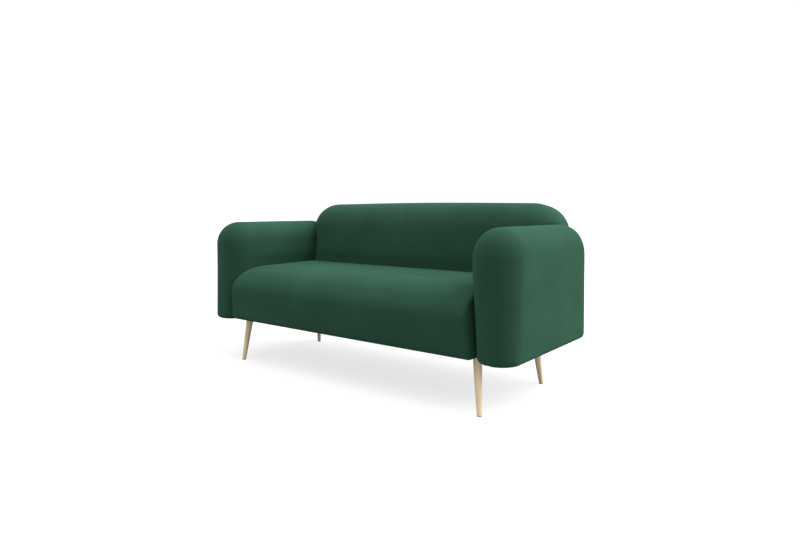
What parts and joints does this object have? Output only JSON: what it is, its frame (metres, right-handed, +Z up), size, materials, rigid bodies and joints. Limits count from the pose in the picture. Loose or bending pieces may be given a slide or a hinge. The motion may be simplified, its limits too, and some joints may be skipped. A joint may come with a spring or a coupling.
{
  "type": "two-seat sofa",
  "caption": "Velvet two-seat sofa with fully rounded arms, a bench seat with a rounded nose, a reclined back over the arms and slim splayed wooden legs.",
  "frame": {"origin": "on the floor, under the centre of the sofa's width and depth", "axes": "+X to the right seen from the front, +Y from the front to the back, +Z up"},
  "size_m": [1.7, 0.8049, 0.7895],
  "materials": {
    "velvet": "short-pile velvet, deep green",
    "foam": "open-cell polyurethane foam",
    "underside_cloth": "black non-woven cloth",
    "felt": "pressed felt",
    "webbing": "elastic webbing",
    "leg_wood": "pale beech, satin lacquer",
    "pine": "sawn softwood",
    "plywood": "sanded plywood",
    "hardboard": "hardboard",
    "steel": "zinc plated",
    "glide_plastic": "moulded nylon"
  },
  "bodies": {
    "root": {"seat_front_rail": "pine", "seat_rear_rail": "pine", "seat_side_rail_left": "pine", "seat_side_rail_right": "pine", "seat_centre_rail": "pine", "seat_corner_blocks": "pine", "seat_springs": "steel", "spring_clips": "steel", "spring_pad": "felt", "seat_foam": "foam", "seat_cover": "velvet", "dust_cover": "underside_cloth", "back_post_left": "plywood", "back_post_right": "plywood", "back_inner_posts": "plywood", "back_top_rail": "plywood", "back_bottom_rail": "plywood", "back_webbing": "webbing", "back_panel": "hardboard", "back_foam": "foam", "back_cover": "velvet", "arm_left_inner_panel": "plywood", "arm_left_outer_panel": "plywood", "arm_left_front_post": "pine", "arm_left_rear_post": "pine", "arm_left_top_board": "pine", "arm_left_bottom_board": "pine", "arm_left_foam": "foam", "arm_left_cover": "velvet", "arm_left_base_cloth": "underside_cloth", "arm_right_inner_panel": "plywood", "arm_right_outer_panel": "plywood", "arm_right_front_post": "pine", "arm_right_rear_post": "pine", "arm_right_top_board": "pine", "arm_right_bottom_board": "pine", "arm_right_foam": "foam", "arm_right_cover": "velvet", "arm_right_base_cloth": "underside_cloth", "leg_front_left": "leg_wood", "leg_front_right": "leg_wood", "leg_rear_left": "leg_wood", "leg_rear_right": "leg_wood", "leg_bolts": "steel", "leg_inserts": "steel", "leg_glides": "glide_plastic", "arm_bolts": "steel", "arm_bolt_washers": "steel", "arm_bolt_nuts": "steel", "back_bolts": "steel", "back_bolt_washers": "steel", "back_bolt_nuts": "steel"}
  },
  "joints": []
}
